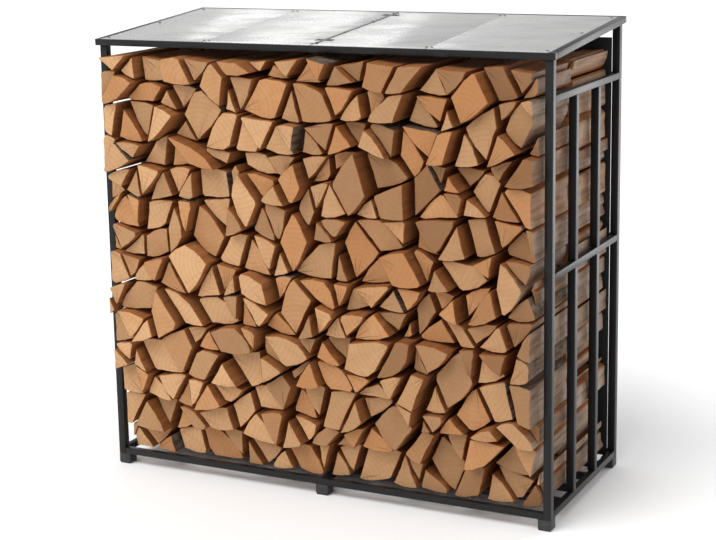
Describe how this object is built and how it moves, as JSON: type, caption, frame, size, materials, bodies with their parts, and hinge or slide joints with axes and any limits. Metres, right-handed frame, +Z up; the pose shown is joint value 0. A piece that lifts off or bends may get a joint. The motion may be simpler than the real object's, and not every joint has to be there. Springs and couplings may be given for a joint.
{
  "type": "firewood log store",
  "caption": "Slim steel log store with an open front, a gently sloped sheet roof bar sides and a closed back, filled to the top with two rows of split firewood.",
  "frame": {"origin": "on the floor, at the middle of the width and the depth of the whole box", "axes": "+X along the width to the right as seen from the front, +Y from the open front to the back, +Z up"},
  "size_m": [1.874, 0.874, 1.784],
  "materials": {
    "frame_coat": "satin black powder coat on square steel tube",
    "foot_plastic": "matt black foot cap",
    "back_sheet": "satin black coated thin sheet",
    "roof_sheet": "pale zinc-coated sheet, lightly reflective",
    "split_wood": "raw split firewood, pale tan to orange end grain"
  },
  "bodies": {
    "root": {"front_left_post": "frame_coat", "front_right_post": "frame_coat", "back_left_post": "frame_coat", "back_right_post": "frame_coat", "left_side_rails": "frame_coat", "right_side_rails": "frame_coat", "left_side_bars": "frame_coat", "right_side_bars": "frame_coat", "front_bottom_rail": "frame_coat", "back_rails": "frame_coat", "back_bars": "frame_coat", "floor_cross_rail": "frame_coat", "floor_rails": "frame_coat", "roof_front_rail": "frame_coat", "roof_back_rail": "frame_coat", "roof_left_rail": "frame_coat", "roof_right_rail": "frame_coat", "roof_rafters": "frame_coat", "front_feet": "foot_plastic", "back_feet": "foot_plastic", "roof_sheet_1": "roof_sheet", "roof_sheet_2": "roof_sheet", "roof_sheet_3": "roof_sheet", "roof_sheet_4": "roof_sheet", "back_sheet_1": "back_sheet", "back_sheet_2": "back_sheet", "back_sheet_3": "back_sheet", "back_sheet_4": "back_sheet", "front_firewood_tier_1": "split_wood", "front_firewood_tier_2": "split_wood", "front_firewood_tier_3": "split_wood", "front_firewood_tier_4": "split_wood", "front_firewood_tier_5": "split_wood", "front_firewood_tier_6": "split_wood", "front_firewood_tier_7": "split_wood", "back_firewood_tier_1": "split_wood", "back_firewood_tier_2": "split_wood", "back_firewood_tier_3": "split_wood", "back_firewood_tier_4": "split_wood"}
  },
  "joints": []
}
